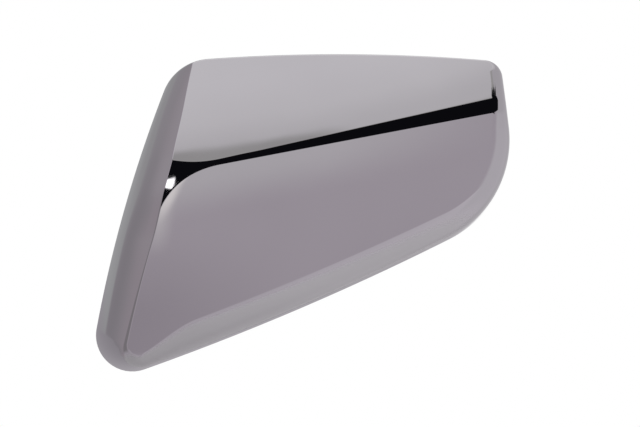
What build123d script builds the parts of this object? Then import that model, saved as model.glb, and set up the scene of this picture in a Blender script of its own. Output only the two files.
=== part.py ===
from build123d import *
import math
import os

# The cover is drawn lying on its rim: x inboard, y up the car, z out to the front.
# At the end it is stood up, so that the front looks along -Y and +Z is up.
# The origin is the axis of the four-way locating pin, on the rim plane.

# Rim outline, measured to its sharp corners; leans in degrees from upright
top_edge = 184.8
top_edge_height = 87.5
top_edge_start = -70.8
inboard_edge = 81.8
inboard_lean = 6.9
outboard_edge = 193.6
outboard_lean = 15.2

# How far each side bows out past its chord
top_bow = 4.2
inboard_bow = 0.3
bottom_bow = 5.8
outboard_bow = 6.3

# Corner radii of the outline at the rim; the two outboard corners are crisper in front
top_outboard_radius = 29.3
top_inboard_radius = 10.8
bottom_inboard_radius = 62.0
bottom_outboard_radius = 20.7
top_outboard_front_radius = 4.0
bottom_outboard_front_radius = 9.0

# Walls: thickness, draft of three sides, lean and barrel of the outboard end wall
wall = 2.5
side_draft = 3.0
end_lean = 12.0
end_barrel_radius = 192.0

# Front faces: each is a shallow dome, and all dome centres lie this far behind the rim
crown_depth = 1000.0
main_height = 62.5
main_height_x = -75.0
main_height_y = 5.0
main_fall_inboard = 3.4
main_lean_down = 3.1

# Shoulder: a narrow facet under the upper face, which turns a corner at its outboard end
shoulder_height = 36.3
shoulder_rise = 10.95
shoulder_bend = 10.5
brow_height = 40.7
brow_rise = 12.9
brow_bend = 15.5
shoulder_corner_x = -54.3
shoulder_corner_y = -5.85

# Edges: the roll along the bottom and inboard end, the round of every crease, the rim step
rolled_edge = 15.0
crease_round = 1.0
rim_step_depth = 3.0
rim_lip = 1.3

# Snap hooks: blades off the inner skin, each with a barb past the rim and two gussets
hook_width = 14.0
hook_thickness = 2.2
hook_clearance = 6.5
hook_reach = 6.0
hook_barb = 1.8
hook_lead = 3.6
hook_free_length = 22.0
gusset_thickness = 1.6
gusset_angle = 16.0
hook_places = [("top", 0.25), ("top", 0.76), ("inboard", 0.45),
               ("bottom", 0.36), ("bottom", 0.70), ("outboard", 0.34), ("outboard", 0.68)]

# Locating pins: a round pin on a wider post with a cross of fins, one four-way and one two-way
pin_radius = 3.0
pin_reach = 4.0
pin_chamfer = 0.8
pin_length = 18.0
post_radius = 3.6
fin_thickness = 1.8
fin_half_width = 5.0
fin_draft = 5.0
two_way_pin_x = 72.0
two_way_pin_y = 36.0

# Rest ribs: thin pads on the wall that centre the cover on the housing
rib_thickness = 1.6
rib_depth = 3.0
rib_top = 20.0
rib_places = [("top", 0.12), ("top", 0.5), ("top", 0.9), ("inboard", 0.22),
              ("bottom", 0.28), ("bottom", 0.53), ("bottom", 0.84)]

# Working room for the cutting shapes
headroom = 17.5
ceiling = main_height + headroom
below_rim = 2 * hook_reach
spread = 70.0
side_overlap = 0.3
corner_overlap = 0.1
core = 8.0
corner_sweep = 100.0
reach_out = 260.0


def turned(angle):
    """Unit vector in the rim plane at an angle in degrees from +x."""
    return Vector(math.cos(math.radians(angle)), math.sin(math.radians(angle)))


def slope(angle):
    """Rise per unit length of a line that leans by an angle in degrees."""
    return math.tan(math.radians(angle))


def bowed_side(start, end, bow):
    """Centre and radius of the arc that bows out by bow, walking clockwise round the outline."""
    chord = end - start
    radius = (chord.length ** 2 / 4 + bow ** 2) / (2 * bow)
    inward = Vector(chord.Y, -chord.X).normalized()
    return (start + end) / 2 + inward * (radius - bow), radius


top_outboard = Vector(top_edge_start, top_edge_height)
top_inboard = top_outboard + Vector(top_edge, 0)
bottom_inboard = top_inboard + turned(inboard_lean - 90) * inboard_edge
bottom_outboard = top_outboard + turned(-90 - outboard_lean) * outboard_edge
corners = [top_outboard, top_inboard, bottom_inboard, bottom_outboard]
corner_radii = [top_outboard_radius, top_inboard_radius,
                bottom_inboard_radius, bottom_outboard_radius]
side_names = ["top", "inboard", "bottom", "outboard"]
bows = [top_bow, inboard_bow, bottom_bow, outboard_bow]
sides = [bowed_side(corners[i], corners[(i + 1) % 4], bows[i]) for i in range(4)]


def crossing(first, second, near):
    """The point nearest to near where two circles, each a centre and a radius, cross."""
    centre_a, radius_a = first
    centre_b, radius_b = second
    line = centre_b - centre_a
    along = (radius_a ** 2 - radius_b ** 2 + line.length ** 2) / (2 * line.length)
    across = math.sqrt(radius_a ** 2 - along ** 2)
    foot = centre_a + line.normalized() * along
    normal = Vector(-line.Y, line.X).normalized()
    candidates = (foot + normal * across, foot - normal * across)
    return min(candidates, key=lambda point: (point - near).length)


def outline(insets, radii, height):
    """Closed outline at a height, its four sides moved in by insets and its corners rounded."""
    rings = [(centre, radius - inset) for (centre, radius), inset in zip(sides, insets)]
    points = [crossing(rings[i - 1], rings[i], corners[i]) for i in range(4)]
    edges = []
    for i in range(4):
        start = points[i]
        end = points[(i + 1) % 4]
        centre, radius = rings[i]
        middle = centre + ((start + end) / 2 - centre).normalized() * radius
        edges.append(Edge.make_three_point_arc(start, middle, end))
    face = Face(Wire(edges))
    for point, radius in zip(points, radii):
        if radius > 0:
            vertex = min(face.vertices(), key=lambda v: (Vector(v) - point).length)
            face = face.fillet_2d(radius, [vertex])
    return Pos(0, 0, height) * face


def on_side(name, fraction, inset):
    """A point along a side of the rim, moved in by inset, and the heading that looks inward."""
    index = side_names.index(name)
    centre, radius = sides[index]
    start = corners[index] - centre
    end = corners[(index + 1) % 4] - centre
    sweep = math.degrees(math.asin((start.X * end.Y - start.Y * end.X) / radius ** 2))
    angle = math.degrees(math.atan2(start.Y, start.X)) + fraction * sweep
    return centre + turned(angle) * (radius - inset), angle + 180


def side_inset(height):
    return height * slope(side_draft)


def end_inset(height):
    return height * slope(end_lean) + height ** 2 / (2 * end_barrel_radius)


def dome(face, inset):
    """The ball whose cap is a front face moved in by inset; its seam lies far behind the cover."""
    centre, radius = face
    return Pos(centre.X, centre.Y, -crown_depth) * Rot(0, 90, 0) * Sphere(radius - inset)


def dome_through(x, y, height, fall_inboard, lean_down):
    """Centre and radius of the dome through a point, with its lean in degrees there."""
    reach = crown_depth + height
    lean = Vector(-slope(fall_inboard), slope(lean_down))
    return Vector(x, y) + lean * reach, reach * math.sqrt(1 + lean.length ** 2)


def dome_beyond(face, crease_height, crease_rise, bend):
    """The dome that meets a face along a crease, straight from the front, and is bent back past it.

    The crease is given by its height at x = 0 and its rise in degrees.
    """
    centre, radius = face
    on_crease = Vector(0, crease_height)
    reach = math.sqrt(radius ** 2 - (on_crease - centre).length ** 2)
    next_centre = centre - turned(crease_rise + 90) * reach * slope(bend)
    return next_centre, math.hypot(reach, (on_crease - next_centre).length)


main_face = dome_through(main_height_x, main_height_y, main_height, main_fall_inboard, main_lean_down)
shoulder_face = dome_beyond(main_face, shoulder_height, shoulder_rise, shoulder_bend)
upper_face = dome_beyond(shoulder_face, brow_height, brow_rise, brow_bend)


def shoulder_cuts(inset):
    """What the shoulder takes away: a straight run, and the same section turned round its corner."""
    centre, radius = shoulder_face
    pivot = Vector(shoulder_corner_x, shoulder_corner_y)
    arm = pivot - centre
    heading = math.degrees(math.atan2(arm.Y, arm.X))

    def section_point(distance):
        across = distance + arm.length
        return Vector(distance, 0, math.sqrt((radius - inset) ** 2 - across ** 2) - crown_depth)

    start = section_point(core)
    end = section_point(core + spread)
    section = Wire([
        Edge.make_three_point_arc(start, section_point(core + spread / 2), end),
        Edge.make_line(end, (end.X, 0, ceiling)),
        Edge.make_line((end.X, 0, ceiling), (start.X, 0, ceiling)),
        Edge.make_line((start.X, 0, ceiling), start),
    ])
    corner = Solid.revolve(Face(section), corner_sweep, Axis.Z)
    run = Pos(0, core, 0) * Box(reach_out, reach_out, ceiling, align=(Align.MIN, Align.MIN, Align.MIN))
    place = Pos(pivot.X, pivot.Y, 0)
    return [place * Rot(0, 0, heading - 90) * run - dome(shoulder_face, inset),
            place * Rot(0, 0, heading) * corner]


def rolled_slab(inset):
    """A slab under the main face, its bottom and inboard walls rolled where they meet the face."""
    radii = [0, 0, bottom_inboard_radius - inset, 0]
    sections = []
    for height in (-below_rim, ceiling):
        side = side_inset(height) + inset
        sections.append(outline([-spread, side, side, -spread], radii, height))
    slab = loft(sections, ruled=True) & dome(main_face, inset)
    front = slab.faces().sort_by(Axis.Z)[-1]
    corner_in_front = Vector(bottom_inboard.X, bottom_inboard.Y, main_height)
    bottom_corner_and_inboard = front.edges().sort_by_distance(corner_in_front)[:3]
    return slab.solid().fillet(rolled_edge - inset, bottom_corner_and_inboard)


def walled_block(inset):
    """The outline carried up with each wall's own draft; two walls stand clear of the slab."""
    radii = [radius - inset for radius in (top_outboard_front_radius, top_inboard_radius,
                                           bottom_inboard_radius, bottom_outboard_front_radius)]
    sections = []
    for height in (-below_rim, (ceiling - below_rim) / 2, ceiling):
        side = side_inset(height) + inset
        clear = side - side_overlap
        sections.append(outline([side, clear, clear, end_inset(height) + inset], radii, height))
    return loft(sections)


def form(inset):
    """The cover's outside form moved in by inset all over, solid, and run on below the rim."""
    body = rolled_slab(inset) & walled_block(inset) & dome(upper_face, inset)
    for cut in shoulder_cuts(inset):
        body = body - cut
    return body.solid()


def rounded_end(inset):
    """Room for the outboard end: two corners rounded as at the rim, the sides clear of the walls."""
    radii = [top_outboard_radius - inset, 0, 0, bottom_outboard_radius - inset]
    sections = []
    for height in (-below_rim, ceiling):
        clear = side_inset(height) + inset - corner_overlap
        sections.append(outline([clear, -spread, clear, clear], radii, height))
    return loft(sections, ruled=True)


def rim_step():
    """The room for the housing's edge: the outline moved in by the lip, a little way past the rim."""
    radii = [radius - rim_lip for radius in corner_radii]
    sections = []
    for height in (-below_rim, rim_step_depth):
        side = side_inset(height) + rim_lip
        sections.append(outline([side, side, side, end_inset(height) + rim_lip], radii, height))
    return loft(sections, ruled=True)


def shell():
    """The moulded skin: rounded creases outside, an even wall, and a step inside the rim."""
    on_rim = (Align.CENTER, Align.CENTER, Align.MIN)
    in_front_of_rim = Box(2 * reach_out, 2 * reach_out, ceiling, align=on_rim)
    outside = offset(form(crease_round), amount=crease_round, kind=Kind.ARC) & in_front_of_rim
    inside = form(wall) & rounded_end(wall)
    return (outside & rounded_end(0)) - inside - rim_step()


def upright_plate(points, thickness):
    """A plate standing on the skin, drawn in its own x and height and centred on its own plane."""
    face = Face(Wire.make_polygon([(x, 0, z) for x, z in points], close=True))
    return Pos(0, thickness / 2, 0) * Solid.extrude(face, Vector(0, -thickness, 0))


def snap_hook():
    """One blade with its barb, drawn with the cover's middle towards +x."""
    back = -hook_thickness / 2
    front = hook_thickness / 2
    blade = upright_plate([(back, ceiling), (back, -hook_reach), (front, -hook_reach),
                           (front + hook_barb, hook_lead - hook_reach),
                           (front, hook_lead + hook_barb - hook_reach), (front, ceiling)], hook_width)
    foot = front + (ceiling - hook_free_length) * slope(gusset_angle)
    gusset = upright_plate([(0, hook_free_length), (front, hook_free_length),
                            (foot, ceiling), (0, ceiling)], gusset_thickness)
    offset_along = (hook_width - gusset_thickness) / 2
    return blade + Pos(0, offset_along, 0) * gusset + Pos(0, -offset_along, 0) * gusset


def locating_pin():
    """A round pin with a chamfered tip on a wider post, which a cross of two tapered fins holds up."""
    shoulder = pin_length - pin_reach
    post_length = ceiling - shoulder
    foot = fin_half_width + post_length * slope(fin_draft)
    fin = upright_plate([(-fin_half_width, shoulder), (fin_half_width, shoulder),
                         (foot, ceiling), (-foot, ceiling)], fin_thickness)
    upright = (Align.CENTER, Align.CENTER, Align.MIN)
    post = Pos(0, 0, shoulder) * Cylinder(post_radius, post_length, align=upright)
    pin = Cylinder(pin_radius, pin_length, align=upright)
    pin = Pos(0, 0, -pin_reach) * chamfer(pin.edges().sort_by(Axis.Z)[0], pin_chamfer)
    return fin + Rot(0, 0, 90) * fin + post + pin


def rest_rib():
    """A thin pad on the wall with a sloped lead at the rim end, the cover's middle towards +x."""
    lead = rim_step_depth + rib_depth
    return upright_plate([(-wall, rim_step_depth), (0, rim_step_depth), (rib_depth, lead),
                          (rib_depth, rib_top), (-wall, rib_top)], rib_thickness)


def fittings():
    """Everything that stands inside the cover, rooted in the middle of its wall."""
    hook_inset = wall + hook_clearance
    placed = [locating_pin(), Pos(two_way_pin_x, two_way_pin_y, 0) * locating_pin()]
    for name, fraction in hook_places:
        point, heading = on_side(name, fraction, hook_inset)
        placed.append(Pos(point.X, point.Y, 0) * Rot(0, 0, heading) * snap_hook())
    for name, fraction in rib_places:
        point, heading = on_side(name, fraction, wall)
        placed.append(Pos(point.X, point.Y, 0) * Rot(0, 0, heading) * rest_rib())
    room = form(wall / 2)
    return [piece & room for piece in placed]


cover = shell()
for fitting in fittings():
    cover = cover + fitting
cover = Plane.XZ.location * cover.solid()

os.makedirs("parts", exist_ok=True)
export_step(cover, "parts/mirror_cover.step")
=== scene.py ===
import bpy
import numpy as np
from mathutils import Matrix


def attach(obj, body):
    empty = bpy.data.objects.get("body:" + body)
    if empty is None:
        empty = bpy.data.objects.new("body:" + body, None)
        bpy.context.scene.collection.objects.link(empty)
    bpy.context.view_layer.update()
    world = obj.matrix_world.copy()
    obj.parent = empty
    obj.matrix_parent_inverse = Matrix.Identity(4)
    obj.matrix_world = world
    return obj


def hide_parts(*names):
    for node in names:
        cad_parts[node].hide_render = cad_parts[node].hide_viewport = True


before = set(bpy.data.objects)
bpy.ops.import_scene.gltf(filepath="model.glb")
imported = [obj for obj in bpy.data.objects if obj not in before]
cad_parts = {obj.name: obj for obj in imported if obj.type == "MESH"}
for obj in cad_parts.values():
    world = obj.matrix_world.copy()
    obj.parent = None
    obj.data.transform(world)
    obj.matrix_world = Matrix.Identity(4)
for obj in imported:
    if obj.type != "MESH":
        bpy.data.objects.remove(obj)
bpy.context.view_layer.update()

# Sizes are in millimetres, drawn lying on the rim: x inboard, y up the car, h out to the front.
# place_in_frame stands them up, so that the front looks along -Y and +Z is up.

# Rim outline, measured to its sharp corners; leans in degrees from upright
top_edge = 184.8
top_edge_height = 87.5
top_edge_start = -70.8
inboard_edge = 81.8
inboard_lean = 6.9
outboard_edge = 193.6
outboard_lean = 15.2

# Sides and corners in walking order: top, inboard, bottom, outboard; corners start at the top outboard one
side_names = ["top", "inboard", "bottom", "outboard"]
side_bows = np.array([4.2, 0.3, 5.8, 6.3])
corner_radii = np.array([29.3, 10.8, 62.0, 20.7])

# The low outboard corner sharpens as the end wall leans in: the loss of radius per millimetre of lean, and
# the least radius
tip_sharpening = 0.63
tip_radius_in_front = 11.0

# Walls
wall = 2.5
side_draft = 3.0
end_lean = 12.0
end_barrel_radius = 192.0

# Beside the shoulder's corner the end wall stands out a little: how far at the height of the main face, and
# the runs of the outline between which that grows and fades
end_swelling = 1.9
swell_grows = (6.35, 6.54)
swell_fades = (6.63, 6.85)

# Front faces: shallow domes whose centres lie this far behind the rim
crown_depth = 1000.0
main_height = 62.5
main_height_x = -75.0
main_height_y = 5.0
main_fall_inboard = 3.4
main_lean_down = 3.1
shoulder_height = 36.3
shoulder_rise = 10.95
shoulder_bend = 10.5
brow_height = 40.7
brow_rise = 12.9
brow_bend = 15.5
shoulder_corner = np.array([-54.3, -1.6])
corner_sweep = 100.0

# How far the round of each crease reaches to either side; the brow is softer near its outboard end
shoulder_round = 0.25
brow_round = 0.3
brow_round_outboard = 1.2
brow_soft_from = -20.0
brow_soft_to = -34.0

# Radius of the front edge: along the top and outboard sides, round the inboard end, along the bottom and at
# the low outboard tip; on the inner skin it is never less than the last one
crisp_edge = 1.0
inboard_edge_round = 9.0
bottom_roll = 18.5
tip_round = 8.0
least_inner_round = 0.5

# Runs of the outline over which the edge's radius goes from one of these to the next, in walking order
inboard_round_grows = (1.0, 2.0)
bottom_roll_grows = (2.2, 3.8)
tip_round_follows = (4.8, 5.04)
tip_round_fades = (5.4, 6.35)

# Rim: lip width, depth of the step, rounds of its edges
rim_lip = 1.3
rim_step_depth = 3.0
rim_round = 0.3

# Fittings, as in the solid
hook_width = 14.0
hook_thickness = 2.2
hook_clearance = 6.5
hook_reach = 6.0
hook_barb = 1.8
hook_lead = 3.6
hook_free_length = 22.0
gusset_thickness = 1.6
gusset_angle = 16.0
hook_places = [("top", 0.25), ("top", 0.76), ("inboard", 0.45),
               ("bottom", 0.36), ("bottom", 0.70), ("outboard", 0.34), ("outboard", 0.68)]
pin_radius = 3.0
pin_reach = 4.0
pin_chamfer = 0.8
pin_length = 18.0
post_radius = 3.6
fin_thickness = 1.8
fin_half_width = 5.0
fin_draft = 5.0
pin_places = [np.array([0.0, 0.0]), np.array([72.0, 36.0])]
rib_thickness = 1.6
rib_depth = 3.0
rib_top = 20.0
rib_places = [("top", 0.12), ("top", 0.5), ("top", 0.9), ("inboard", 0.22),
              ("bottom", 0.28), ("bottom", 0.53), ("bottom", 0.84)]

# Runs of the outline: a whole round, and the corners of the front patch
whole_round = 8.0
low_outboard_run = 5.5
low_inboard_run = 3.5
top_inboard_run = 1.5
top_outboard_run = -1.0

# Grid: columns across the front, rows of its five bands from the bottom up, rows up the walls and round the
# edge, points on each small arc of the rim, and sides of a pin
front_columns = 150
band_rows = [60, 8, 8, 12, 40]
wall_rows = 12
edge_rows = 12
rim_arc_points = 5
pin_sides = 48

# Points in the table of runs, and how often a height or a crease's place is halved in on
table_points = 6001
edge_halvings = 36
crease_halvings = 40

# Edges of the fittings: sharp from this angle in degrees, and softened by a narrow bevel in metres
sharp_angle = 35.0
bevel_width = 0.0002
bevel_segments = 2

# Millimetres in a metre, and the decimal places of a metre to which points are welded
metre = 1000.0
weld_places = 8


def slope(angle):
    """Rise per unit length of a line that leans by an angle in degrees."""
    return np.tan(np.radians(angle))


def turned(angle):
    """Unit vectors in the rim plane at angles in radians from +x."""
    return np.stack([np.cos(angle), np.sin(angle)], axis=-1)


def length_of(vectors):
    """Lengths of the vectors along the last axis."""
    return np.sqrt((vectors ** 2).sum(axis=-1))


def unit(vectors):
    """The vectors along the last axis, each brought to length one."""
    return vectors / length_of(vectors)[..., None]


def smooth_step(value, low, high):
    """0 below low, 1 above high, and an S curve between them."""
    share = np.clip((value - low) / (high - low), 0.0, 1.0)
    return share * share * (3.0 - 2.0 * share)


corner_0 = np.array([top_edge_start, top_edge_height])
corner_1 = corner_0 + np.array([top_edge, 0.0])
corner_2 = corner_1 + turned(np.radians(inboard_lean - 90.0)) * inboard_edge
corner_3 = corner_0 + turned(np.radians(-90.0 - outboard_lean)) * outboard_edge
corners = np.array([corner_0, corner_1, corner_2, corner_3])
chords = np.roll(corners, -1, axis=0) - corners
side_radii = (length_of(chords) ** 2 / 4 + side_bows ** 2) / (2 * side_bows)
side_inward = unit(np.stack([chords[:, 1], -chords[:, 0]], axis=-1))
side_centres = corners + chords / 2 + side_inward * (side_radii - side_bows)[:, None]


def side_inset(height):
    """How far a drafted wall has moved in at a height."""
    return height * slope(side_draft)


def end_inset(height):
    """How far the leaning, barrelled outboard wall has moved in at a height."""
    return height * slope(end_lean) + height ** 2 / (2 * end_barrel_radius)


def end_swell(run, height):
    """How far the outboard wall stands out beside the shoulder's corner: with the square of the height."""
    share = smooth_step(run, *swell_grows) - smooth_step(run, *swell_fades)
    return end_swelling * share * (height / main_height) ** 2


def tip_radius(height):
    """Radius of the low outboard corner at a height: it sharpens as the end wall leans in."""
    leaned = end_inset(height) - side_inset(height)
    return np.maximum(corner_radii[3] - tip_sharpening * leaned, tip_radius_in_front)


def crossing(centre_a, radius_a, centre_b, radius_b, near):
    """Where two circles cross, for whole arrays of radii: of the two points, the one nearer to near."""
    line = centre_b - centre_a
    gap = length_of(line)
    along = (radius_a ** 2 - radius_b ** 2 + gap ** 2) / (2 * gap)
    across = np.sqrt(np.maximum(radius_a ** 2 - along ** 2, 0.0))
    direction = unit(line)
    sideways = np.stack([-direction[..., 1], direction[..., 0]], axis=-1)
    foot = centre_a + along[..., None] * direction
    one = foot + across[..., None] * sideways
    other = foot - across[..., None] * sideways
    nearer = length_of(one - near) < length_of(other - near)
    return np.where(nearer[..., None], one, other)


def outline(run, height, inset):
    """Points of the outline and their outward directions.

    run goes from 0 to 8 clockwise: top, corner, inboard end, corner, bottom, corner, outboard end, corner.
    At each height a side is an arc moved in by its wall's lean plus the inset, and a corner is an arc that
    touches both its sides; the point lies on its arc at the same share of the arc's angle as of its run.
    The top outboard corner stands upright, and the leaning end wall cuts into it, so that the two meet at a
    crease. The end wall's swell moves its points outward, and its slope along the wall turns the directions.
    """
    run, height, inset = np.broadcast_arrays(np.mod(run, whole_round), height, inset)
    upright = side_inset(height)
    moved = [upright, upright, upright, end_inset(height)]
    radii = [np.broadcast_to(radius, run.shape) for radius in (*corner_radii[:3], tip_radius(height))]
    hubs = []
    for i in range(4):
        before = side_radii[i - 1] - (upright if i == 0 else moved[i - 1]) - radii[i]
        after = side_radii[i] - moved[i] - radii[i]
        hubs.append(crossing(side_centres[i - 1], before, side_centres[i], after, corners[i]))
    end_wall = side_radii[3] - moved[3] - inset
    cut = crossing(hubs[0], radii[0] - inset, side_centres[3], end_wall, corners[0])
    point = np.zeros(run.shape + (2,))
    outward = np.zeros(run.shape + (2,))
    for segment in range(8):
        i = (segment + 1) // 2 % 4
        if segment % 2:
            centre = hubs[i]
            radius = radii[i] - inset
            first = cut - hubs[i] if i == 0 else hubs[i] - side_centres[i - 1]
            last = hubs[i] - side_centres[i]
        else:
            centre = side_centres[i]
            radius = side_radii[i] - moved[i] - inset
            first = hubs[i] - side_centres[i]
            last = (cut if i == 3 else hubs[(i + 1) % 4]) - side_centres[i]
        start = np.arctan2(first[..., 1], first[..., 0])
        sweep = np.mod(start - np.arctan2(last[..., 1], last[..., 0]), 2 * np.pi)
        heading = turned(start - (run - segment) * sweep)
        here = (np.floor(run) == segment)[..., None]
        ends_here = np.isclose(run, segment + 1)[..., None]
        point = np.where(here, centre + radius[..., None] * heading, point)
        outward = outward + np.where(here | ends_here, heading, 0.0)
    outward = unit(outward)
    along = np.stack([outward[..., 1], -outward[..., 0]], axis=-1)
    step = 0.001
    end_length = end_wall * length_of(unit(hubs[3] - side_centres[3]) - unit(cut - side_centres[3]))
    climb = (end_swell(run + step, height) - end_swell(run - step, height)) / (2 * step * end_length)
    swollen = point + end_swell(run, height)[..., None] * outward
    return swollen, unit(outward - climb[..., None] * along)


def walls(run, height, inset):
    """Points on the walls and their normals.

    The points follow the outline at each height, and the normal leans by how fast the outline moves in.
    """
    step = 0.01
    point, outward = outline(run, height, inset)
    further, _ = outline(run, height + step, inset)
    lean = -((further - point) * outward).sum(axis=-1) / step
    tall = np.broadcast_to(height, lean.shape)
    points = np.concatenate([point, tall[..., None]], axis=-1)
    return points, unit(np.concatenate([outward, lean[..., None]], axis=-1))


def dome_beyond(face, crease_height, crease_rise, bend):
    """The dome that meets a face along a straight crease and is bent back past it: its centre and radius."""
    centre, radius = face
    on_crease = np.array([0.0, crease_height])
    reach = np.sqrt(radius ** 2 - ((on_crease - centre) ** 2).sum())
    next_centre = centre - turned(np.radians(crease_rise + 90.0)) * reach * slope(bend)
    return next_centre, np.hypot(reach, length_of(on_crease - next_centre))


crown_reach = crown_depth + main_height
crown_lean = np.array([-slope(main_fall_inboard), slope(main_lean_down)])
main_centre = np.array([main_height_x, main_height_y]) + crown_lean * crown_reach
main_face = (main_centre, crown_reach * np.sqrt(1 + (crown_lean ** 2).sum()))
shoulder_face = dome_beyond(main_face, shoulder_height, shoulder_rise, shoulder_bend)
upper_face = dome_beyond(shoulder_face, brow_height, brow_rise, brow_bend)


def shoulder_distance(plan):
    """Distance in the rim plane from the shoulder's axis.

    Along its run that is the distance to the dome's centre. Past the heading of its corner the same section
    turns about the corner, so there it is the distance to the corner plus the corner's own distance from the
    centre.
    """
    arm = shoulder_corner - shoulder_face[0]
    heading = arm / length_of(arm)
    from_corner = plan - shoulder_corner
    ahead = (from_corner * heading).sum(axis=-1)
    beside = heading[0] * from_corner[..., 1] - heading[1] * from_corner[..., 0]
    angle = np.degrees(np.arctan2(beside, ahead))
    turning = length_of(from_corner) + length_of(arm)
    straight = length_of(plan - shoulder_face[0])
    distance = np.where(angle > 0, turning, straight)
    return np.where(angle > corner_sweep, length_of(arm), distance)


def face_heights(plan, inset):
    """Heights of main face, shoulder and upper face over points of the rim plane, moved in by inset."""
    main = np.sqrt((main_face[1] - inset) ** 2 - ((plan - main_face[0]) ** 2).sum(axis=-1)) - crown_depth
    shoulder = np.sqrt((shoulder_face[1] - inset) ** 2 - shoulder_distance(plan) ** 2) - crown_depth
    upper = np.sqrt((upper_face[1] - inset) ** 2 - ((plan - upper_face[0]) ** 2).sum(axis=-1)) - crown_depth
    return main, shoulder, upper


def face_gaps(points, inset):
    """How far points lie in front of each of the three faces, square to the face; behind is negative."""
    tall = points[..., 2] + crown_depth
    plan = points[..., :2]
    main = np.hypot(length_of(plan - main_face[0]), tall) - main_face[1] + inset
    shoulder = np.hypot(shoulder_distance(plan), tall) - shoulder_face[1] + inset
    upper = np.hypot(length_of(plan - upper_face[0]), tall) - upper_face[1] + inset
    return main, shoulder, upper


def shoulder_softness():
    """Difference in height at which the round of the lower crease begins."""
    return shoulder_round * slope(shoulder_bend)


def brow_softness(x):
    """Difference in height at which the round of the brow begins: it grows towards the outboard end."""
    share = smooth_step(-x, -brow_soft_from, -brow_soft_to)
    return (brow_round + (brow_round_outboard - brow_round) * share) * slope(brow_bend)


def rounded_larger(first, second, softness):
    """The larger of two values, raised by a parabola where they differ by less than softness."""
    near = np.maximum(softness - np.abs(first - second), 0.0)
    return np.maximum(first, second) + near ** 2 / (4 * softness)


def front_height(plan, inset):
    """Height of the front over points of the rim plane: the lowest of its faces, with rounded creases."""
    main, shoulder, upper = face_heights(plan, inset)
    lower = rounded_larger(-main, -shoulder, shoulder_softness())
    return -rounded_larger(lower, -upper, brow_softness(plan[..., 0]))


def front_gap(points, inset):
    """How far points lie in front of the front, with the same rounded creases."""
    main, shoulder, upper = face_gaps(points, inset)
    lower = rounded_larger(main, shoulder, shoulder_softness())
    return rounded_larger(lower, upper, brow_softness(points[..., 0]))


def front_normal(plan, inset):
    """Unit normals of the front, from its slope to either side."""
    step = 0.02
    aside = np.array([step, 0.0])
    above = np.array([0.0, step])
    slope_x = (front_height(plan + aside, inset) - front_height(plan - aside, inset)) / (2 * step)
    slope_y = (front_height(plan + above, inset) - front_height(plan - above, inset)) / (2 * step)
    return unit(np.stack([-slope_x, -slope_y, np.ones_like(slope_x)], axis=-1))


def edge_round(run, inset):
    """Radius of the front edge along the outline.

    It is crisp along the top, grows round the inboard end to the bottom's roll, and shrinks past the tip.
    """
    growing = (inboard_edge_round - crisp_edge) * smooth_step(run, *inboard_round_grows)
    growing = growing + (bottom_roll - inboard_edge_round) * smooth_step(run, *bottom_roll_grows)
    growing = growing - (bottom_roll - tip_round) * smooth_step(run, *tip_round_follows)
    growing = growing - (tip_round - crisp_edge) * smooth_step(run, *tip_round_fades)
    return np.maximum(crisp_edge + growing - inset, least_inner_round)


def front_edge(run, inset):
    """The ball that rolls along the front edge, touching the wall and the front.

    Its centre lies one radius behind the wall. The wall's height is halved in on until the ball just touches
    the front. Gives that height, the centre, the radius and the two directions in which it touches.
    """
    radius = edge_round(np.mod(run, whole_round), inset)
    low = np.zeros_like(run)
    high = np.full_like(run, main_height + wall)
    for _ in range(edge_halvings):
        middle = (low + high) / 2
        points, normals = walls(run, middle, inset)
        outside = front_gap(points - radius[..., None] * normals, inset) + radius > 0
        high = np.where(outside, middle, high)
        low = np.where(outside, low, middle)
    points, normals = walls(run, low, inset)
    centre = points - radius[..., None] * normals
    step = 0.02
    slopes = [front_gap(centre + step * axis, inset) - front_gap(centre - step * axis, inset)
              for axis in np.eye(3)]
    return low, centre, radius, normals, unit(np.stack(slopes, axis=-1))


def edge_contact(run, inset):
    """Where the edge's ball touches the front, in the rim plane."""
    _, centre, radius, _, facing = front_edge(run, inset)
    return (centre + radius[..., None] * facing)[..., :2]


def first_reach(runs, values, level):
    """The run at which values first rise to a level, between its two neighbours in a fine table."""
    at = np.argmax(values >= level)
    share = (level - values[at - 1]) / (values[at] - values[at - 1])
    return runs[at - 1] + share * (runs[at] - runs[at - 1])


def crease_levels(plan, inset):
    """How far points lie above the lower crease and the brow, each in units of its own round."""
    main, shoulder, upper = face_heights(plan, inset)
    return (main - shoulder) / shoulder_softness(), (shoulder - upper) / brow_softness(plan[..., 0])


def crease_row(ends, which, level, floor, inset):
    """A row of points along a crease, at a level of its round, from one end to the other.

    x steps evenly between the ends, and y is halved in on between the floor and the top of the outline.
    """
    x = np.linspace(ends[0, 0], ends[1, 0], front_columns)
    low = np.broadcast_to(floor, x.shape)
    high = np.full_like(x, top_edge_height)
    for _ in range(crease_halvings):
        middle = (low + high) / 2
        above = crease_levels(np.stack([x, middle], axis=-1), inset)[which] > level
        high = np.where(above, middle, high)
        low = np.where(above, low, middle)
    row = np.stack([x, low], axis=-1)
    row[0] = ends[0]
    row[-1] = ends[1]
    return row


def filled(bottom, top, left, right):
    """Points of a patch between four border rows.

    Both pairs of opposite rows are blended straight across and added, less the blend of the four corners.
    """
    u = np.linspace(0.0, 1.0, len(bottom))[None, :, None]
    v = np.linspace(0.0, 1.0, len(left))[:, None, None]
    across = (1 - v) * bottom[None] + v * top[None]
    upward = (1 - u) * left[:, None] + u * right[:, None]
    low = (1 - u) * bottom[0] + u * bottom[-1]
    high = (1 - u) * top[0] + u * top[-1]
    return across + upward - (1 - v) * low - v * high


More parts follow.
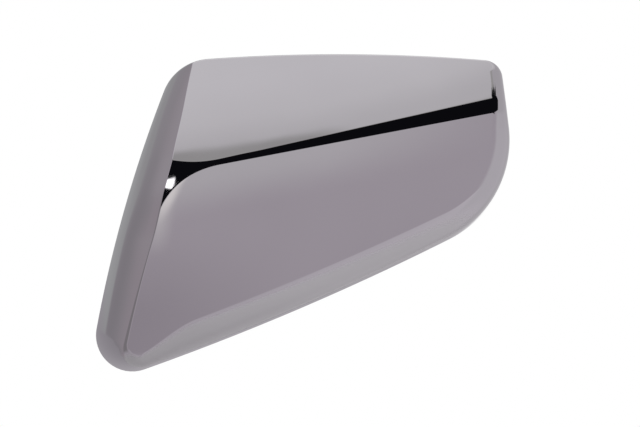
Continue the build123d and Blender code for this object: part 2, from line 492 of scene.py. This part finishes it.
def skin(inset, lowest):
    """One skin of the cover, moved in by inset: the rim's runs, the wall and edge rows, and the front patch.

    The front patch has its corners in the outline's corners and rows along both creases. The walls rise from
    lowest to the edge's ball, the edge turns from the wall's normal to the front's, and both walk round the
    patch's own border, so all three share their points.
    """
    start_run = low_outboard_run - whole_round
    fine = np.linspace(start_run, low_outboard_run, table_points)
    contact = edge_contact(fine, inset)
    at_rim, _ = outline(fine, 0.0, inset)
    stretches = length_of(np.diff(contact, axis=0)) + length_of(np.diff(at_rim, axis=0))
    travelled = np.concatenate([[0.0], np.cumsum(stretches)])

    def even_runs(first, last, count):
        ends = np.interp([first, last], fine, travelled)
        return np.interp(np.linspace(ends[0], ends[1], count), travelled, fine)

    # The lower and upper border of each crease's round: which crease, and the level in units of its round
    crease_borders = ((0, -1.0), (0, 1.0), (1, -1.0), (1, 1.0))
    outboard = fine < top_outboard_run
    inboard = (fine > top_inboard_run) & (fine < low_inboard_run)
    left_runs = [start_run]
    right_runs = [low_inboard_run]
    for which, level in crease_borders:
        values = crease_levels(contact, inset)[which]
        going_up = outboard & (fine > left_runs[-1])
        left_runs.append(first_reach(fine[going_up], values[going_up], level))
        going_up = inboard & (fine < right_runs[-1])
        right_runs.append(first_reach(fine[going_up][::-1], values[going_up][::-1], level))
    left_runs.append(top_outboard_run)
    right_runs.append(top_inboard_run)

    bottom_runs = even_runs(low_outboard_run, low_inboard_run, front_columns)
    top_runs = even_runs(top_outboard_run, top_inboard_run, front_columns)
    rows = [edge_contact(bottom_runs, inset)]
    floor = shoulder_corner[1]
    for band, (which, level) in enumerate(crease_borders):
        ends = edge_contact(np.array([left_runs[band + 1], right_runs[band + 1]]), inset)
        rows.append(crease_row(ends, which, level, floor, inset))
        floor = rows[-1][:, 1]
    rows.append(edge_contact(top_runs, inset))

    left_border = []
    right_border = []
    plans = []
    for band, count in enumerate(band_rows):
        left = even_runs(left_runs[band], left_runs[band + 1], count + 1)
        right = even_runs(right_runs[band], right_runs[band + 1], count + 1)
        plan = filled(rows[band], rows[band + 1], edge_contact(left, inset), edge_contact(right, inset))
        kept = slice(0 if band == 0 else 1, None)
        plans.append(plan[kept])
        left_border.append(left[kept])
        right_border.append(right[kept])
    plan = np.concatenate(plans)
    left_border = np.concatenate(left_border)
    right_border = np.concatenate(right_border)
    front = np.concatenate([plan, front_height(plan, inset)[..., None]], axis=-1)
    front_normals = front_normal(plan, inset)

    runs = np.concatenate([bottom_runs[:-1], right_border[:-1], top_runs[:0:-1], left_border[:0:-1]])
    height, centre, radius, wall_facing, front_facing = front_edge(runs, inset)
    border_normals = border(front_normals)
    rise = np.linspace(0.0, 1.0, wall_rows)[:, None]
    wall_points, wall_normals = walls(runs[None], lowest + rise * (height - lowest)[None], inset)
    turn = np.arccos(np.clip((wall_facing * front_facing).sum(axis=-1), -1.0, 1.0))[None, :, None]
    share = np.linspace(0.0, 1.0, edge_rows + 1)[1:, None, None]
    from_wall = np.sin((1 - share) * turn) * wall_facing
    from_front = np.sin(share * turn) * front_facing
    edge_normals = (from_wall + from_front) / np.sin(turn)
    edge_points = centre[None] + radius[None, :, None] * edge_normals
    edge_points[-1] = border(front)
    edge_normals[-1] = border_normals
    points = np.concatenate([wall_points, edge_points])
    normals = np.concatenate([wall_normals, edge_normals])
    return runs, (points, normals, True), (front, front_normals, False)


def border(grid):
    """The border of a grid as one closed walk: bottom row, last column, top row back, first column back."""
    return np.concatenate([grid[0, :-1], grid[:-1, -1], grid[-1, :0:-1], grid[:0:-1, 0]])


def rim(outer_runs, inner_runs):
    """The rim between the two skins: one profile carried round the outline.

    The profile goes round the lip's outer edge, over the lip, round its inner edge, up the step, through a
    hollow corner, along the ledge and round into the inner wall. Each of its points has an inset, a height
    and a facing.
    """
    quarter = np.linspace(0.0, 90.0, rim_arc_points)
    small = rim_round / 2

    def arc(inset, height, radius, facing):
        across = -np.cos(np.radians(facing))
        up = -np.sin(np.radians(facing))
        return np.stack([inset + radius * across, height + radius * up, facing], axis=-1)

    profile = np.concatenate([
        arc(rim_round, rim_round, rim_round, quarter),
        arc(rim_lip - small, small, small, quarter + 90.0),
        arc(rim_lip + small, rim_step_depth - small, -small, 180.0 - quarter),
        arc(wall - small, rim_step_depth + small, small, quarter + 90.0),
    ])
    share = np.linspace(0.0, 1.0, len(profile))[:, None]
    runs = outer_runs[None] + share * (inner_runs - outer_runs)[None]
    plan, outward = outline(runs, profile[:, 1:2], profile[:, :1])
    tall = np.broadcast_to(profile[:, 1:2], runs.shape)
    facing = np.radians(np.broadcast_to(profile[:, 2:], runs.shape))
    points = np.concatenate([plan, tall[..., None]], axis=-1)
    normals = np.concatenate([outward * np.cos(facing)[..., None], -np.sin(facing)[..., None]], axis=-1)
    return points, normals, True


def place_in_frame(points):
    """From millimetres lying on the rim to metres in the shared frame: x stays, h goes to -Y, y goes to Z."""
    return np.stack([points[..., 0], -points[..., 2], points[..., 1]], axis=-1) / metre


def make_piece(name, sheets, own_normals):
    """A mesh from grids of points: quads between neighbours, seams welded, faces turned as the normals.

    With own_normals it is shaded by the given normals, and otherwise smooth between its sharp edges.
    """
    all_points = []
    all_normals = []
    all_faces = []
    start = 0
    for points, normals, closed in sheets:
        index = start + np.arange(points.shape[0] * points.shape[1]).reshape(points.shape[:2])
        if closed:
            index = np.concatenate([index, index[:, :1]], axis=1)
        around = (index[:-1, :-1], index[:-1, 1:], index[1:, 1:], index[1:, :-1])
        faces = np.stack(around, axis=-1).reshape(-1, 4)
        flat = points.reshape(-1, 3)
        facing = np.cross(flat[faces[:, 2] - start] - flat[faces[:, 0] - start],
                          flat[faces[:, 3] - start] - flat[faces[:, 1] - start])
        given = normals.reshape(-1, 3)[faces - start].sum(axis=1)
        if (facing * given).sum() < 0:
            faces = faces[:, ::-1]
        all_points.append(flat)
        all_normals.append(normals.reshape(-1, 3))
        all_faces.append(faces)
        start += len(flat)
    points = place_in_frame(np.concatenate(all_points))
    normals = np.concatenate(all_normals)
    normals = np.stack([normals[:, 0], -normals[:, 2], normals[:, 1]], axis=-1)
    faces = np.concatenate(all_faces)
    welded, places = np.unique(np.round(points, weld_places), axis=0, return_inverse=True)
    corners_of = places.reshape(-1)[faces]
    first_pair = corners_of[:, 0] == corners_of[:, 1]
    pinched = first_pair | (corners_of[:, 2] == corners_of[:, 3])
    three = np.where(first_pair[:, None], faces[:, 1:], faces[:, :3])[pinched]
    mesh = bpy.data.meshes.new(name)
    quads = corners_of[~pinched].tolist()
    triangles = places.reshape(-1)[three].tolist()
    mesh.from_pydata(welded.tolist(), [], quads + triangles)
    mesh.polygons.foreach_set("use_smooth", np.ones(len(mesh.polygons), dtype=bool))
    if own_normals:
        quad_normals = normals[faces[~pinched]].reshape(-1, 3)
        corner_normals = np.concatenate([quad_normals, normals[three].reshape(-1, 3)])
        mesh.normals_split_custom_set(corner_normals.tolist())
    else:
        mesh.set_sharp_from_angle(angle=np.radians(sharp_angle))
    mesh.update()
    piece = bpy.data.objects.new(name, mesh)
    bpy.context.scene.collection.objects.link(piece)
    return piece


def on_side(name, fraction, inset):
    """A point along a side of the rim, moved in by inset, and the angle of its inward direction."""
    i = side_names.index(name)
    start = corners[i] - side_centres[i]
    end = corners[(i + 1) % 4] - side_centres[i]
    sweep = np.arcsin((start[0] * end[1] - start[1] * end[0]) / side_radii[i] ** 2)
    angle = np.arctan2(start[1], start[0]) + fraction * sweep
    return side_centres[i] + turned(angle) * (side_radii[i] - inset), angle + np.pi


def roof(plan):
    """Height of the middle of the wall over points of the rim plane.

    It is the front's height, lowered by the roll near the bottom and by the inboard end's round, or the
    leaning end wall's where that comes first.
    """
    depth = wall / 2
    height = front_height(plan, depth)
    for i, edge in ((1, inboard_edge_round), (2, bottom_roll)):
        radius = edge - depth
        inside = side_radii[i] - length_of(plan - side_centres[i]) - side_inset(height) - depth
        short = np.clip(radius - inside, 0.0, radius)
        height = height - radius + np.sqrt(radius ** 2 - short ** 2)
    to_end = side_radii[3] - length_of(plan - side_centres[3]) - depth
    lean = slope(end_lean)
    bulge = np.sqrt(lean ** 2 + 2 * np.maximum(to_end, 0.0) / end_barrel_radius)
    on_end = end_barrel_radius * (bulge - lean)
    return np.minimum(height, on_end)


def column(point, heading, back, front, low_side, high_side, heights):
    """An upright bar of rectangular section: four corners at each height, closed at both ends.

    back and front give the section's reach along the heading at each row, low_side and high_side across it.
    A last height of None takes the row up to the middle of the wall over each corner.
    """
    along = turned(heading)
    across = np.outer([low_side, low_side, high_side, high_side], turned(heading + np.pi / 2))
    rows = []
    for b, f, height in zip(back, front, heights):
        plan = point + np.outer([b, f, f, b], along) + across
        tall = roof(plan) if height is None else np.full(4, height)
        rows.append(np.concatenate([plan, tall[:, None]], axis=1))
    points = np.array(rows)
    axis = points.mean(axis=1, keepdims=True)
    bottom = points[0][[0, 1, 3, 2]].reshape(2, 2, 3)
    top = points[-1][[0, 1, 3, 2]].reshape(2, 2, 3)
    down = np.broadcast_to([0.0, 0.0, -1.0], (2, 2, 3))
    return [(points, points - axis, True), (bottom, down, False), (top, -down, False)]


def snap_hook(name, fraction):
    """One snap hook: a blade with a barb past the rim, and two gussets that widen up to the skin."""
    point, heading = on_side(name, fraction, wall + hook_clearance)
    half = hook_thickness / 2
    barb_height = hook_lead - hook_reach
    back = [-half] * 4
    front = [half, half + hook_barb, half, half]
    side = hook_width / 2
    sheets = column(point, heading, back, front, -side, side,
                    [-hook_reach, barb_height, barb_height + hook_barb, None])
    foot = half + max(roof(point) - hook_free_length, 0.0) * slope(gusset_angle)
    for low in (-side, side - gusset_thickness):
        sheets += column(point, heading, [0.0, 0.0], [half, foot], low, low + gusset_thickness,
                         [hook_free_length, None])
    return sheets


def rest_rib(name, fraction):
    """One rest rib: a thin pad on the wall with a sloped lead, its back in the middle of the wall."""
    point, heading = on_side(name, fraction, wall)
    heights = [rim_step_depth + rim_round, rim_step_depth + rib_depth, rib_top]
    back = [side_inset(height) - wall / 2 for height in heights]
    half = rib_thickness / 2
    return column(point, heading, back, [rim_round, rib_depth, rib_depth], -half, half, heights)


def locating_pin(point):
    """One locating pin: a profile turned about its axis from the chamfered tip up, and a cross of fins."""
    shoulder = pin_length - pin_reach
    top = float(roof(point))
    tip = -pin_reach
    radii = np.array([0.0, pin_radius - pin_chamfer, pin_radius, pin_radius, post_radius, post_radius, 0.0])
    heights = np.array([tip, tip, tip + pin_chamfer, shoulder, shoulder, top, top])
    round_about = turned(np.linspace(0.0, 2 * np.pi, pin_sides, endpoint=False))
    plan = point + radii[:, None, None] * round_about[None]
    tall = np.broadcast_to(heights[:, None, None], plan.shape[:2] + (1,))
    points = np.concatenate([plan, tall], axis=-1)
    middle = np.array([point[0], point[1], (tip + top) / 2])
    sheets = [(points, points - middle, True)]
    wide = fin_half_width + (top - shoulder) * slope(fin_draft)
    for heading in (0.0, np.pi / 2):
        sheets += column(point, heading, [-fin_half_width, -wide], [fin_half_width, wide],
                         -fin_thickness / 2, fin_thickness / 2, [shoulder, None])
    return sheets


def wire(tree, kind, inputs, **settings):
    """A node of a tree with its settings; an input is a value, or the output of another node."""
    made = tree.nodes.new(kind)
    for key, value in settings.items():
        setattr(made, key, value)
    for key, value in inputs.items():
        if isinstance(value, bpy.types.NodeSocket):
            tree.links.new(value, made.inputs[key])
        else:
            made.inputs[key].default_value = value
    return made


def maths(tree, operation, *values):
    """The output of a maths node on values or outputs."""
    return wire(tree, "ShaderNodeMath", dict(enumerate(values)), operation=operation).outputs[0]


def stepped(tree, value, low, high, at_low, at_high):
    """The output of an S curve from one value at low to another at high."""
    inputs = {"Value": value, "From Min": low, "From Max": high, "To Min": at_low, "To Max": at_high}
    return wire(tree, "ShaderNodeMapRange", inputs, interpolation_type="SMOOTHSTEP").outputs["Result"]


# Finish: the part of a noise's range that is used, and the depth in metres that a full ripple stands for
noise_range = (0.3, 0.7)
ripple_depth = 0.001


def plating_group():
    """Shared finish: a tone that drifts over the part, a faint haze and the ripple of a moulded skin."""
    group = bpy.data.node_groups.new("plating", "ShaderNodeTree")
    for name in ("Tone scale", "Haze scale", "Ripple", "Ripple scale"):
        group.interface.new_socket(name, in_out="INPUT", socket_type="NodeSocketFloat")
    for name, kind in (("Tone", "NodeSocketFloat"), ("Haze", "NodeSocketFloat"),
                       ("Normal", "NodeSocketVector")):
        group.interface.new_socket(name, in_out="OUTPUT", socket_type=kind)
    given = group.nodes.new("NodeGroupInput").outputs
    result = group.nodes.new("NodeGroupOutput")
    place = wire(group, "ShaderNodeTexCoord", {}).outputs["Object"]

    def noise(scale, detail):
        return wire(group, "ShaderNodeTexNoise", {"Vector": place, "Scale": given[scale], "Detail": detail})

    tone = noise("Tone scale", detail=2.0)
    haze = noise("Haze scale", detail=3.0)
    ripple = noise("Ripple scale", detail=1.0)
    bump = wire(group, "ShaderNodeBump", {"Height": ripple.outputs[0], "Strength": given["Ripple"],
                                          "Distance": ripple_depth})
    group.links.new(tone.outputs[0], result.inputs["Tone"])
    group.links.new(haze.outputs[0], result.inputs["Haze"])
    group.links.new(bump.outputs[0], result.inputs["Normal"])
    return group


def plated(name, group, dark, light, smooth, rough, scales):
    """A metal finish: colour between dark and light by tone, roughness between smooth and rough by haze."""
    material = bpy.data.materials.new(name)
    material.use_nodes = True
    tree = material.node_tree
    shader = tree.nodes["Principled BSDF"]
    shader.inputs["Metallic"].default_value = 1.0
    finish = wire(tree, "ShaderNodeGroup", {}, node_tree=group)
    for key, value in scales.items():
        finish.inputs[key].default_value = value
    ramp = tree.nodes.new("ShaderNodeValToRGB")
    ramp.color_ramp.elements[0].position = noise_range[0]
    ramp.color_ramp.elements[1].position = noise_range[1]
    ramp.color_ramp.elements[0].color = (*dark, 1.0)
    ramp.color_ramp.elements[1].color = (*light, 1.0)
    tree.links.new(finish.outputs["Tone"], ramp.inputs["Fac"])
    tree.links.new(ramp.outputs["Color"], shader.inputs["Base Color"])
    roughness = stepped(tree, finish.outputs["Haze"], *noise_range, smooth, rough)
    tree.links.new(roughness, shader.inputs["Roughness"])
    tree.links.new(finish.outputs["Normal"], shader.inputs["Normal"])
    return material


outer_runs, outer_sides, outer_front = skin(0.0, rim_round)
inner_runs, inner_sides, inner_front = skin(wall, rim_step_depth + rim_round / 2)
shell = make_piece("cover_shell", [outer_sides, outer_front, rim(outer_runs, inner_runs)], True)
inner_sheets = [(points, -normals, closed) for points, normals, closed in (inner_sides, inner_front)]
lining = make_piece("inner_skin", inner_sheets, True)
hooks = make_piece("snap_hooks", sum([snap_hook(*place) for place in hook_places], []), False)
pins = make_piece("locating_pins", sum([locating_pin(place) for place in pin_places], []), False)
ribs = make_piece("rest_ribs", sum([rest_rib(*place) for place in rib_places], []), False)

finish_group = plating_group()
polished = plated("polished_chrome", finish_group, dark=(0.49, 0.475, 0.495), light=(0.51, 0.495, 0.515),
                  smooth=0.02, rough=0.04,
                  scales={"Tone scale": 12.0, "Haze scale": 30.0, "Ripple": 0.02, "Ripple scale": 40.0})
satin = plated("satin_plate", finish_group, dark=(0.40, 0.395, 0.40), light=(0.47, 0.465, 0.47),
               smooth=0.3, rough=0.42,
               scales={"Tone scale": 25.0, "Haze scale": 60.0, "Ripple": 0.05, "Ripple scale": 1500.0})
for piece, material in ((shell, polished), (lining, satin), (hooks, satin), (pins, satin), (ribs, satin)):
    piece.data.materials.append(material)
    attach(piece, "root")
    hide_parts("mirror_cover")
for piece in (hooks, pins, ribs):
    bevel = piece.modifiers.new("soft_edges", "BEVEL")
    bevel.width = bevel_width
    bevel.segments = bevel_segments
    bevel.limit_method = "ANGLE"
    bevel.angle_limit = np.radians(sharp_angle)

# Floor: a pale disc under the part that fades out towards its rim, from floor_fade_from metres on. Its colour
# has painted shade, darker to the left and behind the part, and a mottle at random. Each painted shade and
# the mottle has its two ends, in metres or as values of the noise, and then the brightness at each.
floor_level = -210.0
floor_radius = 420.0
floor_spokes = 96
floor_rings = 12
floor_fade_from = 0.2
floor_painted_shade_across = (-0.2, 0.12, 0.72, 1.08)
floor_painted_shade_behind = (0.02, 0.18, 1.0, 0.84)
floor_mottle = (0.2, 0.8, 0.80, 0.84)
floor_mottle_scale = 3.0
floor_glow = 0.17
spokes = turned(np.linspace(0.0, 2 * np.pi, floor_spokes, endpoint=False))
rings = np.linspace(0.0, floor_radius, floor_rings)
flat = rings[:, None, None] * spokes[None]
level = np.full(flat.shape[:2], floor_level)
disc = np.stack([flat[..., 0], level, -flat[..., 1]], axis=-1)
floor = make_piece("floor", [(disc, np.broadcast_to([0.0, 1.0, 0.0], disc.shape), True)], False)
floor_finish = bpy.data.materials.new("pale_floor")
floor_finish.use_nodes = True
floor_tree = floor_finish.node_tree
floor_tree.nodes.clear()
floor_place = wire(floor_tree, "ShaderNodeTexCoord", {}).outputs["Object"]
floor_split = wire(floor_tree, "ShaderNodeSeparateXYZ", {"Vector": floor_place})
floor_x = floor_split.outputs["X"]
floor_y = floor_split.outputs["Y"]
floor_square = maths(floor_tree, "ADD", maths(floor_tree, "POWER", floor_x, 2.0),
                     maths(floor_tree, "POWER", floor_y, 2.0))
floor_away = maths(floor_tree, "SQRT", floor_square)
floor_fade = stepped(floor_tree, floor_away, floor_fade_from, floor_radius / metre, 0.0, 1.0)
floor_cloud = wire(floor_tree, "ShaderNodeTexNoise", {"Vector": floor_place, "Scale": floor_mottle_scale})
# Painted shade: the floor's colour is made darker to the left and behind the part, then mottled at random
floor_painted_shade = maths(floor_tree, "MULTIPLY", stepped(floor_tree, floor_x, *floor_painted_shade_across),
                    stepped(floor_tree, floor_y, *floor_painted_shade_behind))
floor_tone = maths(floor_tree, "MULTIPLY", floor_painted_shade,
                   stepped(floor_tree, floor_cloud.outputs[0], *floor_mottle))
floor_colour = wire(floor_tree, "ShaderNodeCombineColor", {0: floor_tone, 1: floor_tone, 2: floor_tone})
floor_matt = wire(floor_tree, "ShaderNodeBsdfDiffuse", {"Color": floor_colour.outputs[0]})
floor_path = wire(floor_tree, "ShaderNodeLightPath", {}).outputs
floor_shown = maths(floor_tree, "ADD", floor_path["Is Camera Ray"], floor_path["Is Glossy Ray"])
floor_strength = maths(floor_tree, "MULTIPLY", floor_shown, floor_glow)
floor_lift = wire(floor_tree, "ShaderNodeEmission", {"Strength": floor_strength})
floor_sum = wire(floor_tree, "ShaderNodeAddShader", {0: floor_matt.outputs[0], 1: floor_lift.outputs[0]})
floor_clear = wire(floor_tree, "ShaderNodeBsdfTransparent", {})
floor_mix = wire(floor_tree, "ShaderNodeMixShader",
                 {0: floor_fade, 1: floor_sum.outputs[0], 2: floor_clear.outputs[0]})
wire(floor_tree, "ShaderNodeOutputMaterial", {"Surface": floor_mix.outputs[0]})
floor.data.materials.append(floor_finish)

# Studio: soft cards round the part by direction, each painted over the ones before it. Azimuth 0 is towards
# the camera, positive to the photo's right. A card's numbers are in the order of card_words, angles in
# degrees, and then comes its colour.
card_words = ("Middle", "Half width", "Side softness", "Lowest", "Highest", "Softness", "Tilt", "Lean")


def card_group():
    """A soft-edged card seen from the part: 1 inside a range of azimuth and elevation, 0 outside.

    Tilt raises the card's upper and lower edges with azimuth, and Lean moves its side edges with elevation.
    """
    group = bpy.data.node_groups.new("soft_card", "ShaderNodeTree")
    for name in ("Azimuth", "Elevation", *card_words):
        group.interface.new_socket(name, in_out="INPUT", socket_type="NodeSocketFloat")
    group.interface.new_socket("Mask", in_out="OUTPUT", socket_type="NodeSocketFloat")
    given = group.nodes.new("NodeGroupInput").outputs
    result = group.nodes.new("NodeGroupOutput")

    def faded(value, edge, softness, at_low, at_high):
        low = maths(group, "SUBTRACT", given[edge], given[softness])
        high = maths(group, "ADD", given[edge], given[softness])
        return stepped(group, value, low, high, at_low, at_high)

    aside = maths(group, "WRAP", maths(group, "SUBTRACT", given["Azimuth"], given["Middle"]), 180.0, -180.0)
    centre = maths(group, "MULTIPLY", maths(group, "ADD", given["Lowest"], given["Highest"]), 0.5)
    above_centre = maths(group, "SUBTRACT", given["Elevation"], centre)
    leaned = maths(group, "SUBTRACT", aside, maths(group, "MULTIPLY", given["Lean"], above_centre))
    level = maths(group, "SUBTRACT", given["Elevation"], maths(group, "MULTIPLY", given["Tilt"], aside))
    within = faded(maths(group, "ABSOLUTE", leaned), "Half width", "Side softness", 1.0, 0.0)
    above = faded(level, "Lowest", "Softness", 0.0, 1.0)
    below = faded(level, "Highest", "Softness", 1.0, 0.0)
    mask = maths(group, "MULTIPLY", within, maths(group, "MULTIPLY", above, below))
    group.links.new(mask, result.inputs["Mask"])
    return group


studio_grey = (0.59, 0.545, 0.595, 1.0)
flag_black = (0.006, 0.006, 0.008)
cards = [
    # In front: a light bar under the dark flag, a shade at the low left, and a warm lamp with its glow
    ((6.0, 18.0, 10.0, -5.6, 14.0, 1.8, 0.22, 0.0), (0.73, 0.71, 0.735)),
    ((-6.0, 14.0, 9.0, -40.0, -11.0, 4.0, 0.0, 0.0), (0.47, 0.43, 0.475)),
    ((3.2, 1.3, 0.7, -8.8, -3.0, 1.5, 0.0, 0.15), (0.76, 0.733, 0.752)),
    ((3.59, 1.5, 0.35, -6.7, -3.0, 1.3, 0.0, 0.52), (1.14, 1.106, 1.08)),
    # Below: the room's floor, lighter on the right and darker on the left
    ((0.0, 190.0, 1.0, -100.0, -17.8, 0.4, 0.0, 0.0), (0.69, 0.65, 0.70)),
    ((80.0, 55.0, 25.0, -100.0, -17.8, 0.4, 0.0, 0.0), (0.785, 0.75, 0.795)),
    ((-60.0, 60.0, 25.0, -100.0, -17.8, 0.4, 0.0, 0.0), (0.56, 0.525, 0.57)),
    # Ceiling, from a dim edge to a bright middle
    ((0.0, 190.0, 1.0, 48.0, 100.0, 6.0, 0.0, 0.0), (0.86, 0.85, 0.87)),
    ((10.0, 55.0, 12.0, 34.0, 48.5, 1.0, 0.125, 0.0), (0.55, 0.545, 0.53)),
    ((10.0, 55.0, 12.0, 48.3, 70.0, 0.4, 0.125, 0.0), (0.795, 0.785, 0.80)),
    ((10.0, 55.0, 12.0, 50.3, 70.0, 1.3, 0.125, 0.0), (0.905, 0.895, 0.91)),
    ((10.0, 55.0, 12.0, 52.6, 100.0, 2.0, 0.125, 0.0), (0.965, 0.955, 0.975)),
    ((-26.0, 34.0, 3.0, 40.0, 44.7, 0.33, 0.125, 0.0), (0.51, 0.505, 0.50)),
    ((0.0, 190.0, 1.0, 74.0, 100.0, 5.0, 0.0, 0.0), (1.7, 1.7, 1.7)),
    # Right and left of the part and behind it, and last the white backdrop that the camera sees
    ((115.0, 62.0, 8.0, -34.0, 50.0, 8.0, 0.0, 0.0), (0.73, 0.705, 0.74)),
    ((115.0, 62.0, 8.0, 10.0, 50.0, 8.0, 0.0, 0.0), (0.655, 0.635, 0.66)),
    ((158.0, 30.0, 10.0, -40.0, 40.0, 10.0, 0.0, 0.0), (0.65, 0.63, 0.655)),
    ((-70.0, 38.0, 14.0, -22.0, 14.0, 6.0, 0.0, 0.0), (0.33, 0.31, 0.325)),
    ((-145.0, 42.0, 12.0, -60.0, 74.0, 10.0, 0.0, 0.0), (0.445, 0.40, 0.435)),
    ((-155.0, 10.0, 9.0, -16.0, 60.0, 8.0, 0.0, -0.6), (0.385, 0.365, 0.39)),
    ((-143.0, 7.0, 7.0, -16.0, 10.0, 4.0, 0.0, 0.0), (0.33, 0.31, 0.335)),
    ((-130.0, 9.0, 5.0, 10.0, 30.0, 2.5, 0.0, 0.0), (0.475, 0.445, 0.475)),
    ((-171.5, 17.5, 2.0, -60.0, 70.0, 10.0, 0.0, 0.0), (0.44, 0.445, 0.452)),
    ((-160.0, 13.0, 1.4, -8.0, 18.0, 2.0, 0.0, -0.7), (0.44, 0.445, 0.452)),
    ((-155.5, 4.0, 3.0, 7.0, 19.0, 2.0, 0.0, -0.7), (0.40, 0.398, 0.408)),
    ((-162.0, 24.0, 1.5, -70.0, 2.6, 1.2, 0.0, 0.0), (0.395, 0.375, 0.405)),
    ((180.0, 6.5, 1.5, -2.5, 7.0, 1.2, 0.0, 0.0), (1.0, 1.0, 1.0)),
    # The dark flags: the wide one, one at its right end, two short ones that stand on that, and a low one on
    # the left; then the small lamp that shows in the wide one
    ((4.5, 36.5, 2.0, 5.0, 37.0, 0.8, 0.0, 0.0), flag_black),
    ((54.0, 15.5, 1.5, 16.6, 37.0, 0.8, 0.28, 0.0), flag_black),
    ((37.0, 9.5, 1.0, 31.0, 49.73, 0.1, -0.1225, 0.0), flag_black),
    ((56.0, 11.0, 1.5, 31.0, 46.32, 0.1, -0.235, 0.0), flag_black),
    ((-22.0, 7.0, 1.0, 0.0, 12.0, 0.8, 0.0, 0.0), flag_black),
    ((-14.8, 0.5, 0.1, 12.42, 13.6, 0.12, 0.62, 0.964), (2.6, 2.6, 2.6)),
]

# Colour sockets of a mix node: its two inputs, and its output
mix_under, mix_over, mix_result = 6, 7, 2

world = bpy.data.worlds.new("studio")
bpy.context.scene.world = world
world.use_nodes = True
sky = world.node_tree
sky.nodes.clear()
ray = wire(sky, "ShaderNodeTexCoord", {}).outputs["Generated"]
look = wire(sky, "ShaderNodeSeparateXYZ", {"Vector": ray})
towards = maths(sky, "MULTIPLY", look.outputs["Y"], -1.0)
azimuth = maths(sky, "DEGREES", maths(sky, "ARCTAN2", look.outputs["X"], towards))
elevation = maths(sky, "DEGREES", maths(sky, "ARCSINE", look.outputs["Z"]))
card = card_group()
base = wire(sky, "ShaderNodeRGB", {})
base.outputs[0].default_value = studio_grey
colour = base.outputs[0]
for numbers, tint in cards:
    mask = wire(sky, "ShaderNodeGroup", {}, node_tree=card)
    sky.links.new(azimuth, mask.inputs["Azimuth"])
    sky.links.new(elevation, mask.inputs["Elevation"])
    for word, number in zip(card_words, numbers):
        mask.inputs[word].default_value = number
    mixed = wire(sky, "ShaderNodeMix", {}, data_type="RGBA")
    sky.links.new(mask.outputs["Mask"], mixed.inputs["Factor"])
    sky.links.new(colour, mixed.inputs[mix_under])
    mixed.inputs[mix_over].default_value = (*tint, 1.0)
    colour = mixed.outputs[mix_result]
studio = wire(sky, "ShaderNodeBackground", {"Color": colour, "Strength": 1.0})
plain = wire(sky, "ShaderNodeBackground", {"Color": (1.0, 1.0, 1.0, 1.0), "Strength": 1.0})
seen = wire(sky, "ShaderNodeLightPath", {}).outputs["Is Camera Ray"]
shown = wire(sky, "ShaderNodeMixShader", {0: seen, 1: studio.outputs[0], 2: plain.outputs[0]})
wire(sky, "ShaderNodeOutputWorld", {"Surface": shown.outputs[0]})

# Camera: level, straight on to the rim plane, at the photo's framing; lens and sensor in millimetres
camera_place = (0.0114, -1.8, 0.00086)
camera_lens = 177.6
camera_sensor = 36.0
camera_data = bpy.data.cameras.new("camera")
camera_data.sensor_width = camera_sensor
camera_data.lens = camera_lens
camera = bpy.data.objects.new("camera", camera_data)
camera.location = camera_place
camera.rotation_euler = (np.pi / 2, 0.0, 0.0)
bpy.context.scene.collection.objects.link(camera)
bpy.context.scene.camera = camera
bpy.context.scene.view_settings.view_transform = "Standard"
